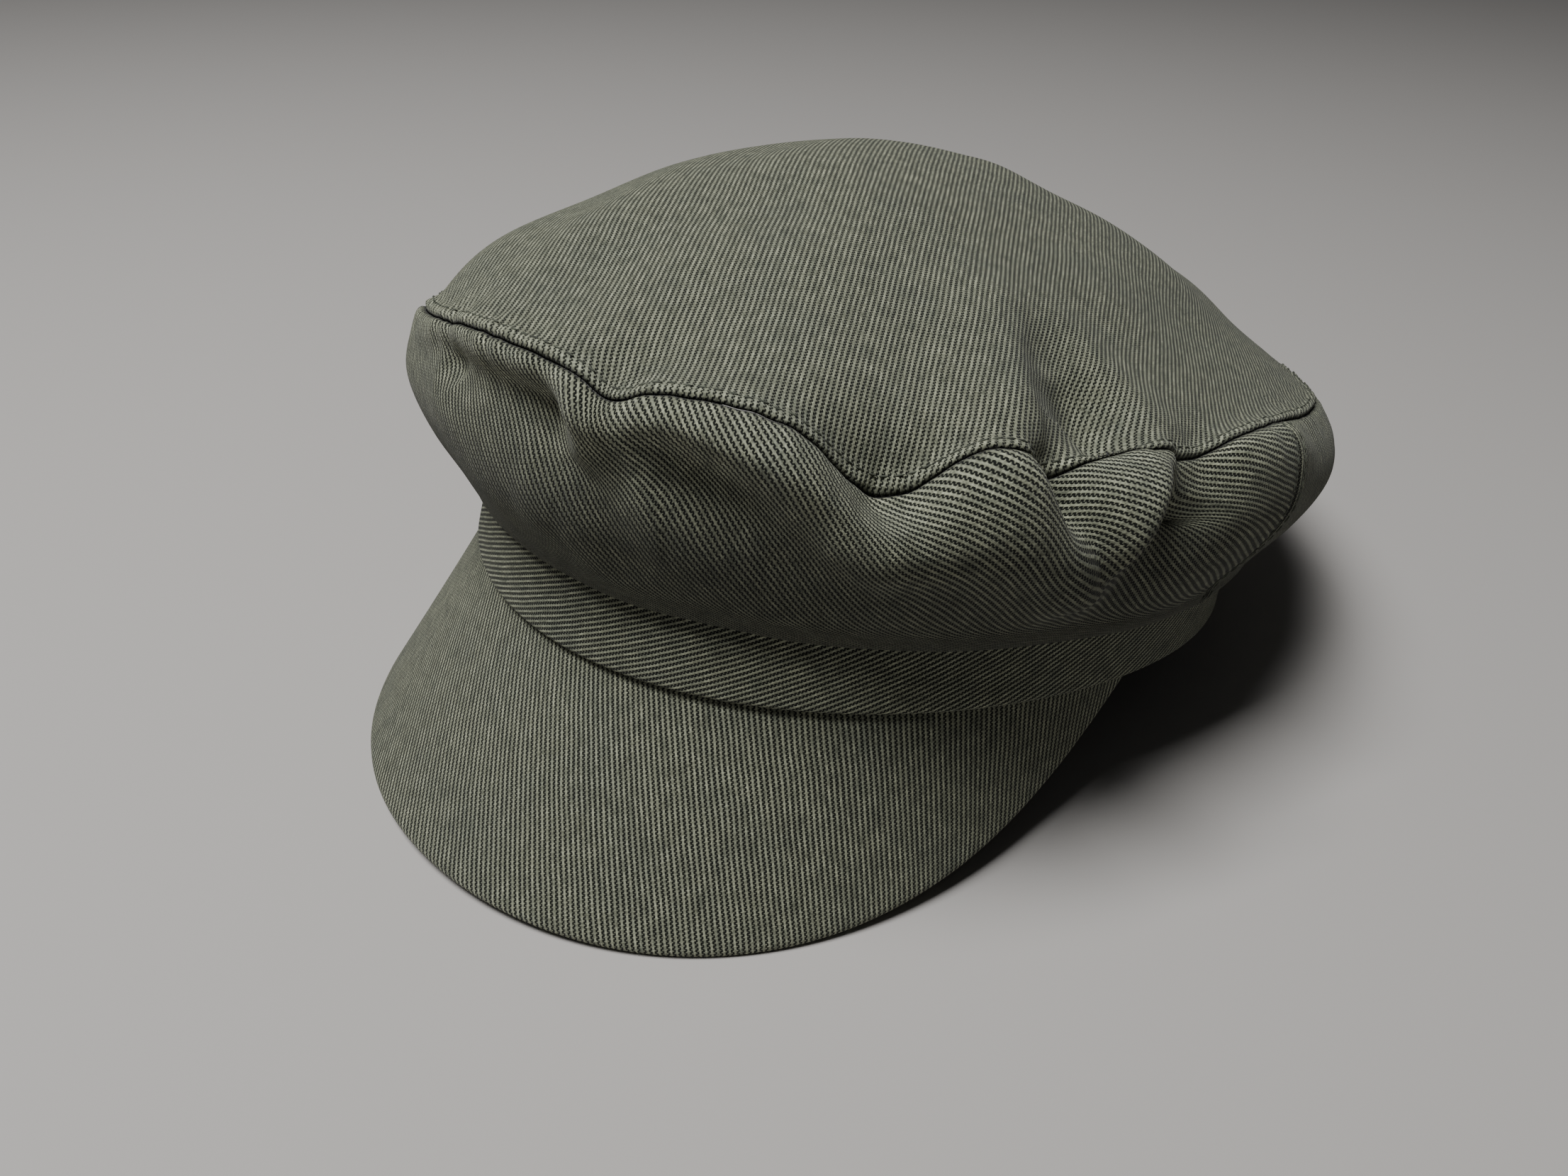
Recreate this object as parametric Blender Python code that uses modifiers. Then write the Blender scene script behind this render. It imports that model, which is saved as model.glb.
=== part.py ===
"""Denim cap with a domed oval top, two side pieces that hang over a headband, and a stiff peak.

The cap is drawn in its own frame: the middle of the headband's lower edge is the origin, the
peak points to -Y and the wearer's left is +X. An empty then tilts it as it lies on a table, on
the edge of its peak and the back of its headband, with the cloth pressed flat where it rests.
An angle is measured from the front towards the wearer's left.
"""
from collections import namedtuple

import bmesh
import bpy
import numpy as np

MM = 0.001

# Headband: an oval ring of folded cloth, wider at its top, dipping at the front
BAND_HALF_WIDTH = 81.7 * MM
BAND_HALF_LENGTH = 101.5 * MM
BAND_HEIGHT = 26.0 * MM
BAND_WALL = 2.2 * MM
BAND_FLARE = np.radians(5.7)
BAND_FRONT_DROP = 3.25 * MM
BAND_SIDE_LIFT = 3.5 * MM

# Peak: a stiffened crescent under the front of the headband
PEAK_LENGTH = 51.4 * MM
PEAK_WALL = 3.0 * MM
PEAK_END = 2.0 * MM
PEAK_REACH = np.radians(81.6)
PEAK_FULLNESS = 2.81
PEAK_SLOPE_FRONT = np.radians(59.4)
PEAK_SLOPE_END = np.radians(83.5)

# Crown: how far it stands out past the headband, its height and its cloth
CROWN_SIDE_OVERHANG = 15.3 * MM
CROWN_END_OVERHANG = 19.5 * MM
CROWN_HEIGHT = 92.0 * MM
CLOTH_WALL = 1.2 * MM

# Lower fold, where the side pieces hang over the headband and turn up behind it
FOLD_LEVEL = 0.58
FOLD_NOSE = 3.2 * MM
FOLD_TURN = 2.4 * MM
TUCK_LEVEL = 0.94

# Largest depth and width of the dents and folds, and of the waves of the crown's seam
FOLD_DEPTH = 5.5 * MM
FOLD_WIDTH = 10.0 * MM
WAVE_DEPTH = 9.5 * MM

# Fit between pieces, and how far cloth is pressed flat where the cap rests
GAP = 0.35 * MM
SEAM_GAP = 0.7 * MM
PRESS = 0.8 * MM

# Rows of the crown from the fold up to the seam. Width and length run from the fold (0) to the
# widest line of the crown (1); the heights run from the fold (0) to the top of the crown (1).
SideRow = namedtuple("SideRow", "name width length front left back right")
SIDE_ROWS = (
    SideRow("lower", 0.11, 0.21, 0.065, 0.098, 0.072, 0.065),
    SideRow("middle", 0.65, 0.65, 0.183, 0.229, 0.190, 0.170),
    SideRow("widest", 1.00, 1.00, 0.320, 0.366, 0.294, 0.281),
    SideRow("shoulder", 0.76, 1.04, 0.444, 0.464, 0.373, 0.379),
    SideRow("seam", 0.16, 0.87, 0.556, 0.542, 0.438, 0.451),
)

# Rows of the top from its edge to its middle. Size is a share of the seam's oval.
TopRow = namedtuple("TopRow", "name size front left back right")
TOP_ROWS = (
    TopRow("edge", 0.925, 0.621, 0.569, 0.510, 0.569),
    TopRow("low", 0.787, 0.712, 0.641, 0.621, 0.706),
    TopRow("half", 0.590, 0.837, 0.771, 0.778, 0.856),
    TopRow("high", 0.360, 0.948, 0.902, 0.902, 0.961),
    TopRow("near", 0.150, 0.993, 0.980, 0.980, 0.997),
    TopRow("middle", 0.000, 1.000, 1.000, 1.000, 1.000),
)

# Row numbers: the tuck, the inside of the fold, its lowest line and its outside come first
FOLD_ROW = 3
SEAM_ROW = FOLD_ROW + len(SIDE_ROWS)
LAST_ROW = SEAM_ROW + len(TOP_ROWS)

# Waves of the seam: middle and spread in degrees, rise and reach as shares of WAVE_DEPTH
Wave = namedtuple("Wave", "name angle spread rise reach")
WAVES = (
    Wave("right slump", -36, 22.0, -0.74, 0.00),
    Wave("first dip", 14.8, 4.2, -0.47, -0.12),
    Wave("deep dip", 42, 7.2, -1.00, -0.11),
    Wave("second dip", 58, 3.6, -0.53, -0.21),
    Wave("side rise", 66, 5.0, 0.16, 0.00),
    Wave("last dip", 76, 4.5, -0.26, -0.11),
    Wave("side seam", 90, 9.0, 0.21, 0.00),
)
WAVE_ROWS_BELOW = 2.2
WAVE_ROWS_ABOVE = 0.8

# Folds: a line from start over middle to end, each an angle in degrees and a row number. Rise is
# a share of FOLD_DEPTH at those three places, and spread is a share of FOLD_WIDTH to the left and
# to the right of the line. A fold is round at crease 2 and sharper below it.
Fold = namedtuple("Fold", "name start middle end rise spread crease")
FOLDS = (
    Fold("right hollow", (-14, 7.2), (-2, 7.1), (7, 7.0), (-0.36, -0.75, -1.2), (0.45, 1.4), 2.0),
    Fold("right lip", (-30, 7.9), (-14, 7.8), (4, 7.8), (0.27, 0.22, 0.27), (0.4, 0.4), 2.0),
    Fold("right notch", (-11, 7.5), (-9.5, 7.2), (-8, 6.9), (-0.27, -0.45, -0.18), (0.5, 0.5), 2.0),
    Fold("first edge", (9, 8.1), (10.8, 7.6), (12.3, 6.8), (0.15, 0.6, 0.65), (0.6, 0.35), 1.6),
    Fold("long ridge", (15, 7.5), (28, 7.3), (42, 6.75), (0.35, 1.05, 0.95), (0.6, 0.55), 1.6),
    Fold("long hollow", (17, 6.95), (25, 6.7), (33, 6.1), (-0.5, -1.1, -0.6), (0.5, 1.2), 2.0),
    Fold("scoop", (39, 7.7), (42, 7.6), (45, 7.7), (-0.45, -0.7, -0.45), (0.7, 0.8), 2.0),
    Fold("scoop rim", (42, 6.75), (47, 7.0), (51, 7.6), (0.27, 0.55, 0.36), (0.5, 0.9), 2.0),
    Fold("middle ridge", (51, 7.75), (55.5, 7.0), (60.5, 5.7), (0.36, 0.55, 0.45), (0.35, 1.0), 2.0),
    Fold("crease", (57.5, 8.0), (59.5, 6.9), (63, 5.3), (-0.55, -0.85, -0.4), (0.5, 0.25), 1.3),
    Fold("shelf edge", (70, 7.7), (66.3, 6.9), (63, 5.2), (0.35, 0.8, 0.6), (0.4, 0.8), 1.6),
    Fold("dark valley", (75, 7.3), (73, 6.5), (70, 5.5), (-0.9, -1.6, -1.0), (1.2, 0.7), 2.0),
    Fold("left shoulder", (77, 7.8), (84, 7.6), (92, 7.5), (0.45, 0.55, 0.36), (0.4, 0.7), 2.0),
    Fold("low bulge", (2, 5.3), (5, 5.2), (8, 5.1), (0.18, 0.27, 0.18), (1.4, 1.4), 2.0),
    Fold("low valley", (12.5, 6.2), (15, 5.0), (17, 4.0), (-0.18, -0.27, -0.09), (0.6, 0.6), 2.0),
    Fold("top crease", (56.5, 10.6), (55, 9.7), (57.3, 8.4), (0.2, 0.5, 0.35), (0.45, 1.2), 1.8),
    Fold("top dent", (63.5, 10.0), (65.5, 9.3), (65, 8.6), (-0.5, -1.6, -1.1), (0.8, 0.9), 2.0),
    Fold("top ridge", (69, 10.4), (71, 9.7), (73, 8.8), (0.18, 0.3, 0.2), (0.7, 0.7), 2.0),
    Fold("top crest", (-10, 8.75), (-15, 10.25), (-20, 11.25), (0.15, 0.22, 0.11), (1.0, 1.0), 2.0),
)
FOLD_STEPS = 9
FOLD_SIDE_BLEND = 0.25

# Facets: angles of the crown and headband as stretches of even steps, finer over the folds
Stretch = namedtuple("Stretch", "start end steps")
FRONT_STRETCHES = (Stretch(-90, -20, 14), Stretch(-20, 90, 48))
BACK_STRETCHES = (Stretch(90, 270, 30),)
SIDE_FACET_ROWS = (0, 1, 2, 3, 4, 5, 6, 6.5, 7, 7.4, 7.85, 8)
TOP_FACET_ROWS = (8, 8.12, 8.5, 9, 9.5, 10, 10.6, 11.2, 12, 13, LAST_ROW)
PEAK_FACETS_ROUND = 36
PEAK_FACETS_OUT = 5

# Cloth colours, as linear red, green and blue
CROWN_COLOUR = (0.130, 0.138, 0.108, 1.0)
SIDE_COLOUR = (0.118, 0.125, 0.098, 1.0)
BAND_COLOUR = (0.108, 0.115, 0.092, 1.0)
PEAK_COLOUR = (0.100, 0.105, 0.086, 1.0)
CLOTH_ROUGHNESS = 0.9


def oval(angle, half_width, half_length):
    """Point of an oval at an angle from the front, and its outward direction."""
    x = half_width * np.sin(angle)
    y = -half_length * np.cos(angle)
    out = np.stack([np.sin(angle) / half_width, -np.cos(angle) / half_length], -1)
    return x, y, out / np.linalg.norm(out, axis=-1, keepdims=True)


def band_wave(angle):
    """Rise of the headband's edges: down at the front, up at the sides."""
    front = np.maximum(np.cos(angle), 0) ** 2
    return BAND_SIDE_LIFT * np.sin(angle) ** 2 - BAND_FRONT_DROP * front


def band_surface(angle, height):
    """Outside of the headband at a height above its lower edge."""
    flare = height * np.tan(BAND_FLARE)
    x, y, _ = oval(angle, BAND_HALF_WIDTH + flare, BAND_HALF_LENGTH + flare)
    return np.stack([x, y, height + band_wave(angle)], -1)


def peak_surface(angle, share):
    """Upper face of the peak, from the headband's edge (share 0) to the peak's own edge (1)."""
    turn = np.abs(angle) / PEAK_REACH
    width = PEAK_END + (PEAK_LENGTH - PEAK_END) * (1 - turn ** PEAK_FULLNESS)
    slope = PEAK_SLOPE_FRONT + (PEAK_SLOPE_END - PEAK_SLOPE_FRONT) * turn ** 2
    along = GAP + (width - GAP) * share
    x, y, out = oval(angle, BAND_HALF_WIDTH, BAND_HALF_LENGTH)
    level = band_wave(angle) - along * np.sin(slope)
    reach = along * np.cos(slope)
    return np.stack([x + reach * out[..., 0], y + reach * out[..., 1], level], -1)


def crown_rows():
    """Half width, half length and the heights at front, left, back and right of each row."""
    fold = FOLD_LEVEL * BAND_HEIGHT
    dips = np.array([-BAND_FRONT_DROP, BAND_SIDE_LIFT, 0.0, BAND_SIDE_LIFT])
    band = np.array([BAND_HALF_WIDTH, BAND_HALF_LENGTH])
    tuck = TUCK_LEVEL * BAND_HEIGHT
    turn = fold + FOLD_TURN
    nose = band + fold * np.tan(BAND_FLARE) + GAP
    widest = band + [CROWN_SIDE_OVERHANG, CROWN_END_OVERHANG]
    rows = [
        (*(band + tuck * np.tan(BAND_FLARE) + GAP), *(tuck + dips)),
        (*(band + turn * np.tan(BAND_FLARE) + GAP), *(turn + dips / 2)),
        (*(nose + FOLD_NOSE / 2), *(fold + dips / 2)),
        (*(nose + FOLD_NOSE), *(fold + FOLD_TURN + dips / 2)),
    ]
    rise = CROWN_HEIGHT - fold
    for row in SIDE_ROWS:
        reach = [row.width, row.length] * (widest - nose - FOLD_NOSE)
        rows.append((*(nose + FOLD_NOSE + reach), *(fold + rise * np.array(row[3:]))))
    seam = np.array(rows[-1][:2])
    for row in TOP_ROWS:
        rows.append((*(seam * row.size), *(fold + rise * np.array(row[2:]))))
    return np.array(rows)


def smooth_rows(table, row):
    """Value of the table at a row number, on a smooth curve through its rows."""
    ends = np.concatenate([2 * table[:1] - table[1:2], table, 2 * table[-1:] - table[-2:-1]])
    first = np.clip(np.floor(row).astype(int), 0, len(table) - 2)
    part = (row - first)[..., None]
    before, low, high, after = (ends[first + step] for step in range(4))
    bend = 2 * before - 5 * low + 4 * high - after
    twist = 3 * (low - high) + after - before
    return low + 0.5 * part * (high - before + part * (bend + part * twist))


def crown_base(angle, row):
    """Crown without its folds, but with the waves of its seam."""
    values = smooth_rows(crown_rows(), row)
    front = np.maximum(np.cos(angle), 0) ** 2
    back = np.maximum(-np.cos(angle), 0) ** 2
    left = np.maximum(np.sin(angle), 0) ** 2
    right = np.maximum(-np.sin(angle), 0) ** 2
    level = np.sum(values[..., 2:] * np.stack([front, left, back, right], -1), -1)
    spread = np.where(row > SEAM_ROW, WAVE_ROWS_ABOVE, WAVE_ROWS_BELOW)
    near = np.exp(-((row - SEAM_ROW) / spread) ** 2) * np.clip(row / FOLD_ROW, 0, 1)
    reach = np.zeros_like(level)
    for wave in WAVES:
        off = (np.degrees(angle) - wave.angle + 180) % 360 - 180
        pull = WAVE_DEPTH * np.exp(-(off / wave.spread) ** 2) * near
        level = level + wave.rise * pull
        reach = reach + wave.reach * pull
    x = values[..., 0] * np.sin(angle)
    y = -values[..., 1] * np.cos(angle)
    radius = np.maximum(np.hypot(x, y), FOLD_WIDTH)
    return np.stack([x * (1 + reach / radius), y * (1 + reach / radius), level], -1)


def outward(angle, row):
    """Outward direction of the crown without its folds."""
    step = 0.001
    row = np.minimum(row, LAST_ROW - 0.02)
    round_way = crown_base(angle + step, row) - crown_base(angle - step, row)
    up_way = crown_base(angle, row + step) - crown_base(angle, np.maximum(row - step, 0))
    normal = np.cross(round_way, up_way)
    return normal / np.linalg.norm(normal, axis=-1, keepdims=True)


def fold_line(fold):
    """Points along a fold on the crown, and its rise at each."""
    share = np.linspace(0, 1, FOLD_STEPS)
    weights = np.stack([(1 - share) * (1 - 2 * share), 4 * share * (1 - share), share * (2 * share - 1)], -1)
    way = weights @ np.array([fold.start, fold.middle, fold.end])
    return crown_base(np.radians(way[:, 0]), way[:, 1]), weights @ np.array(fold.rise) * FOLD_DEPTH


def fold_rise(point, normal):
    """How far the folds lift or sink each point of the crown."""
    total = np.zeros(len(point))
    for fold in FOLDS:
        line, rise = fold_line(fold)
        nearest = np.full(len(point), np.inf)
        aside = np.zeros(len(point))
        lift = np.zeros(len(point))
        for start, end, start_rise, end_rise in zip(line[:-1], line[1:], rise[:-1], rise[1:]):
            run = end - start
            part = np.clip((point - start) @ run / (run @ run), 0, 1)
            away = point - start - part[:, None] * run
            distance = np.linalg.norm(away, axis=1)
            closer = distance < nearest
            sideways = np.sum(np.cross(run, away) * normal, axis=1) / np.linalg.norm(run)
            nearest = np.where(closer, distance, nearest)
            aside = np.where(closer, sideways, aside)
            lift = np.where(closer, start_rise + part * (end_rise - start_rise), lift)
        leftness = 0.5 + 0.5 * np.tanh(aside / (FOLD_SIDE_BLEND * FOLD_WIDTH))
        spread = FOLD_WIDTH * (fold.spread[0] * leftness + fold.spread[1] * (1 - leftness))
        total += lift * np.exp(-(nearest / spread) ** fold.crease)
    return total


def crown_surface(angle, row):
    """Outside of the crown with its waves and folds."""
    angle, row = np.broadcast_arrays(angle, row)
    shape = angle.shape
    angle = angle.ravel()
    row = row.ravel().astype(float)
    point = crown_base(angle, row)
    normal = outward(angle, row)
    lift = fold_rise(point, normal) * np.clip(row / FOLD_ROW, 0, 1)
    return (point + normal * lift[:, None]).reshape(*shape, 3)


def even_angles(stretches):
    """Angles in radians along stretches of even steps."""
    ends = [np.linspace(s.start, s.end, s.steps + 1)[1:] for s in stretches]
    return np.radians(np.concatenate([[stretches[0].start], *ends]))


def cloth_colour(name, colour):
    """A plain matt cloth of one colour."""
    material = bpy.data.materials.new(name)
    material.use_nodes = True
    shader = material.node_tree.nodes["Principled BSDF"]
    shader.inputs["Base Color"].default_value = colour
    shader.inputs["Roughness"].default_value = CLOTH_ROUGHNESS
    shader.inputs["Metallic"].default_value = 0.0
    material.diffuse_color = colour
    return material


def sheet(name, points, wall, colour, parent):
    """A sheet through a grid of points, joined where its ends meet, and thickened inwards."""
    across, up = points.shape[0] - 1, points.shape[1] - 1
    grid = bmesh.new()
    bmesh.ops.create_grid(grid, x_segments=across, y_segments=up, size=1)
    for vertex in grid.verts:
        column = round((vertex.co.x + 1) / 2 * across)
        line = round((vertex.co.y + 1) / 2 * up)
        vertex.co = points[column, line]
    bmesh.ops.remove_doubles(grid, verts=grid.verts, dist=0.001 * MM)
    mesh = bpy.data.meshes.new(name)
    grid.to_mesh(mesh)
    grid.free()
    mesh.shade_smooth()
    mesh.materials.append(cloth_colour(name + "_denim", colour))
    piece = bpy.data.objects.new(name, mesh)
    piece.parent = parent
    solidify = piece.modifiers.new("wall", "SOLIDIFY")
    solidify.thickness = wall
    solidify.offset = -1
    solidify.use_even_offset = True
    return piece


def crown_points(angles, rows):
    """Grid of points on the crown, drawn back by half a gap where a row is the seam."""
    angle, row = np.meshgrid(angles, np.array(rows, float), indexing="ij")
    step = 0.01
    run = np.linalg.norm(crown_base(angle, row + step) - crown_base(angle, row - step), axis=-1) / (2 * step)
    inward = np.sign(np.mean(rows) - SEAM_ROW)
    row = np.where(row == SEAM_ROW, row + inward * SEAM_GAP / 2 / run, row)
    return crown_surface(angle, row)


def clear_of_side_seam(angles):
    """Angles of a side piece, drawn in by half a gap at its two ends."""
    angles = angles.copy()
    half_gap = GAP / 2 / BAND_HALF_LENGTH
    angles[0] += half_gap
    angles[-1] -= half_gap
    return angles


def evaluated_points(piece):
    """Corners of a piece with its wall, in the cap's own frame."""
    seen = piece.evaluated_get(bpy.context.evaluated_depsgraph_get())
    mesh = seen.to_mesh()
    points = np.empty(len(mesh.vertices) * 3, dtype=np.float32)
    mesh.vertices.foreach_get("co", points)
    seen.to_mesh_clear()
    return points.reshape(-1, 3).astype(float)


def lowest(points, tilt):
    """Lowest level of some points when the cap's front is raised by a tilt."""
    return np.min(points[:, 2] * np.cos(tilt) - points[:, 1] * np.sin(tilt))


def resting_tilt(peak, band):
    """Tilt at which the peak's edge and the back of the headband lie on one level."""
    back = band[band[:, 1] > 0]
    low, high = 0.0, np.radians(45)
    for _ in range(50):
        tilt = (low + high) / 2
        if lowest(peak, tilt) < lowest(back, tilt):
            low = tilt
        else:
            high = tilt
    return tilt


def press_flat(pieces, cutters):
    """Cut away what lies below the table, where the cloth is pressed flat."""
    reach = 4 * BAND_HALF_LENGTH
    bpy.ops.mesh.primitive_cube_add(size=reach, location=(0, 0, -reach / 2))
    table = bpy.context.object
    table.name = "table_cutter"
    table.display_type = "WIRE"
    table.hide_render = True
    for collection in list(table.users_collection):
        collection.objects.unlink(table)
    cutters.objects.link(table)
    for piece in pieces:
        cut = piece.modifiers.new("pressed flat", "BOOLEAN")
        cut.operation = "DIFFERENCE"
        cut.solver = "EXACT"
        cut.object = table


def main():
    for thing in list(bpy.data.objects):
        bpy.data.objects.remove(thing)
    cap = bpy.data.collections.new("denim_cap")
    cutters = bpy.data.collections.new("cutters")
    bpy.context.scene.collection.children.link(cap)
    bpy.context.scene.collection.children.link(cutters)
    rest = bpy.data.objects.new("rest", None)
    cap.objects.link(rest)

    front = even_angles(FRONT_STRETCHES)
    back = even_angles(BACK_STRETCHES)
    whole = np.concatenate([front, back[1:]])
    top_points = crown_points(whole, TOP_FACET_ROWS)
    front_points = crown_points(clear_of_side_seam(front), SIDE_FACET_ROWS)
    back_points = crown_points(clear_of_side_seam(back), SIDE_FACET_ROWS)
    band_points = band_surface(whole[:, None], np.array([0, BAND_HEIGHT]))
    peak_angles = np.linspace(-PEAK_REACH, PEAK_REACH, PEAK_FACETS_ROUND + 1)
    peak_points = peak_surface(peak_angles[:, None], np.linspace(1, 0, PEAK_FACETS_OUT + 1))

    top = sheet("crown_top", top_points, CLOTH_WALL, CROWN_COLOUR, rest)
    side_front = sheet("side_front", front_points, CLOTH_WALL, SIDE_COLOUR, rest)
    side_back = sheet("side_back", back_points, CLOTH_WALL, SIDE_COLOUR, rest)
    band = sheet("headband", band_points, BAND_WALL, BAND_COLOUR, rest)
    peak = sheet("peak", peak_points, PEAK_WALL, PEAK_COLOUR, rest)
    pieces = (top, side_front, side_back, band, peak)
    for piece in pieces:
        cap.objects.link(piece)

    corners = [evaluated_points(piece) for piece in pieces]
    tilt = resting_tilt(corners[4], corners[3])
    every = np.concatenate(corners)
    across = every[:, 0]
    along = every[:, 1] * np.cos(tilt) + every[:, 2] * np.sin(tilt)
    rest.rotation_euler = (-tilt, 0, 0)
    rest.location = (
        -(across.min() + across.max()) / 2,
        -(along.min() + along.max()) / 2,
        -lowest(every, tilt) - PRESS,
    )
    press_flat((band, peak), cutters)
    print("tilt", round(float(np.degrees(tilt)), 2), "place", [round(v / MM, 2) for v in rest.location])


main()
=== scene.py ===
# %% [markdown]
# A denim cap, dressed piece by piece
#
# The real cap is sewn from five pieces of one faded denim twill: a domed oval top, a front and a
# back side panel that slump over a headband, the headband itself, and a stiff peak. The loaded
# frame holds a plain solid for each. Here every solid gets a fine surface in its place, with the
# same outline and folds, and then the things that make cloth look like cloth: the seam's raised
# edge, puckers, rows of stitches and the diagonal ribs of the weave.

import bmesh
import bpy
import numpy as np
from collections import namedtuple
from mathutils import Matrix, Vector


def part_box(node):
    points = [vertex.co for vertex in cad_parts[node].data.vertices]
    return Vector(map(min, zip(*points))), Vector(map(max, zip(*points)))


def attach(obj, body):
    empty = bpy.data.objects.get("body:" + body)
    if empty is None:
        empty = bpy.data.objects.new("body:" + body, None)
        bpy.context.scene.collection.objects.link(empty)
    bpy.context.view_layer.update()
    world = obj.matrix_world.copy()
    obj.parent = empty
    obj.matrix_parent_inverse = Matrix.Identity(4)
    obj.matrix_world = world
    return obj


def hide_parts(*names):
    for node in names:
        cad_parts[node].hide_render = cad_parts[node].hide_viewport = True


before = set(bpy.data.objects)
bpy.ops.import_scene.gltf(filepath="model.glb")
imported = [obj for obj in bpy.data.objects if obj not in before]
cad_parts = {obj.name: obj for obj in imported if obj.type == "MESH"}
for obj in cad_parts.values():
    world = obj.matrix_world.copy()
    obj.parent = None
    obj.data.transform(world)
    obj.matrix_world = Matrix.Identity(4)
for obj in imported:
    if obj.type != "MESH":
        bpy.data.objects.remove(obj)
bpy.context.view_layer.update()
MM = 0.001

# %% [markdown]
# Where the cap lies
#
# All shapes below are drawn in the cap's own frame, whose origin is the middle of the headband's
# lower edge, with the peak towards -Y. On a table the cap leans back, because it rests on the
# edge of its peak and the back of its headband. One matrix tilts it, and its shift is read from
# the frame's headband, so that nothing is fitted by eye.

# %% Sizes of the headband and its place
BAND_HALF_WIDTH = 81.7 * MM
BAND_HALF_LENGTH = 101.5 * MM
BAND_HEIGHT = 26.0 * MM
BAND_WALL = 2.2 * MM
BAND_FLARE = np.radians(5.7)
BAND_FRONT_DROP = 3.25 * MM
BAND_SIDE_LIFT = 3.5 * MM
GAP = 0.35 * MM
REST_TILT = np.radians(12.62)


def oval(angle, half_width, half_length):
    """Point of an oval at an angle from the front, and its outward direction."""
    x = half_width * np.sin(angle)
    y = -half_length * np.cos(angle)
    out = np.stack([np.sin(angle) / half_width, -np.cos(angle) / half_length], -1)
    return x, y, out / np.linalg.norm(out, axis=-1, keepdims=True)


def band_wave(angle):
    """Rise of the headband's edges: down at the front, up at the sides."""
    front = np.maximum(np.cos(angle), 0) ** 2
    return BAND_SIDE_LIFT * np.sin(angle) ** 2 - BAND_FRONT_DROP * front


def band_surface(angle, height):
    """Outside of the headband at a height above its lower edge."""
    flare = height * np.tan(BAND_FLARE)
    x, y, _ = oval(angle, BAND_HALF_WIDTH + flare, BAND_HALF_LENGTH + flare)
    return np.stack([x, y, height + band_wave(angle)], -1)


def place_on_table():
    """Matrix from the cap's frame to the table's, from the tilt and the frame's headband box."""
    turn = Matrix.Rotation(-REST_TILT, 4, "X")
    rim = band_surface(np.linspace(0, 2 * np.pi, 721)[:, None], np.array([0, BAND_HEIGHT]))
    rim = rim.reshape(-1, 3) @ np.array(turn.to_3x3()).T
    low, high = (np.array(corner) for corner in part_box("headband"))
    shift = (low + high - rim.min(0) - rim.max(0)) / 2
    shift[2] = high[2] - rim[:, 2].max()
    return Matrix.Translation(Vector(shift)) @ turn


TABLE = place_on_table()
print("shift in mm", [round(v / MM, 2) for v in TABLE.translation])

# %% [markdown]
# The camera
#
# It stands where the photograph was taken: in front of the cap, to the wearer's left and above,
# leaning a little. The place is given in the cap's frame and moved with it.

# %% Camera
IMAGE_WIDTH = 2212
FOCAL_PIXELS = 1725
VIEW_AZIMUTH = np.radians(37.19)
VIEW_ELEVATION = np.radians(25.01)
VIEW_ROLL = np.radians(10.85)
VIEW_DISTANCE = 313.71 * MM
VIEW_RIGHT = 21.75 * MM
VIEW_UP = 15.57 * MM


def make_camera():
    """Camera at the photograph's angle to the cap."""
    level = np.array([np.cos(VIEW_AZIMUTH), np.sin(VIEW_AZIMUTH), 0])
    ahead = np.array([level[1], -level[0], 0])
    back = ahead * np.cos(VIEW_ELEVATION) + np.array([0, 0, np.sin(VIEW_ELEVATION)])
    steep = np.cross(back, level)
    right = level * np.cos(VIEW_ROLL) + steep * np.sin(VIEW_ROLL)
    up = steep * np.cos(VIEW_ROLL) - level * np.sin(VIEW_ROLL)
    spot = back * VIEW_DISTANCE - right * VIEW_RIGHT - up * VIEW_UP
    pose = Matrix.Identity(4)
    for column, axis in enumerate((right, up, back, spot)):
        for line in range(3):
            pose[line][column] = axis[line]
    lens = bpy.data.cameras.new("camera")
    lens.sensor_width = 36
    lens.lens = FOCAL_PIXELS / IMAGE_WIDTH * lens.sensor_width
    lens.clip_start = 0.01
    camera = bpy.data.objects.new("camera", lens)
    camera.matrix_world = TABLE @ pose
    bpy.context.scene.collection.objects.link(camera)
    bpy.context.scene.camera = camera
    return camera


camera = make_camera()
print("camera", [round(v, 3) for v in camera.location], "lens", round(camera.data.lens, 2))

# %% [markdown]
# One function for shader nodes
#
# A material is a small graph. This function adds one node, sets its properties and joins or sets
# its sockets, so that each material below reads as a list of steps. Colours are written as sRGB
# hex values, as a paint chart gives them, and turned to the linear values that shaders need.

# %% Shader helpers
def linear(hex_colour):
    """Linear red, green, blue and 1 from an sRGB hex value."""
    parts = [int(hex_colour[i:i + 2], 16) / 255 for i in (1, 3, 5)]
    return (*[v / 12.92 if v <= 0.04045 else ((v + 0.055) / 1.055) ** 2.4 for v in parts], 1.0)


def add_node(tree, kind, inputs=(), **settings):
    """Adds a node; inputs maps a socket's name or number to a value or to another node's socket."""
    node = tree.nodes.new(kind)
    for name, value in settings.items():
        setattr(node, name, value)
    for key, value in dict(inputs).items():
        if isinstance(value, bpy.types.NodeSocket):
            tree.links.new(value, node.inputs[key])
        else:
            node.inputs[key].default_value = value
    return node


# %% [markdown]
# Floor and light
#
# A pale sheet of paper and soft light from large panels. The main panel hangs above and a little
# behind, as in the photograph, where the top is the brightest part and the side hangs in shade.

# %% Floor and light
FLOOR_SIZE = 6.0
KEY_PLACE = (-0.12, -0.42, 1.15)
KEY_SIZE = 0.5
KEY_POWER = 19.5
FRONT_PLACE = (-0.60, -1.00, 1.00)
FRONT_SIZE = 0.5
FRONT_POWER = 0.4
ROOM_LIGHT = 0.04


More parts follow.
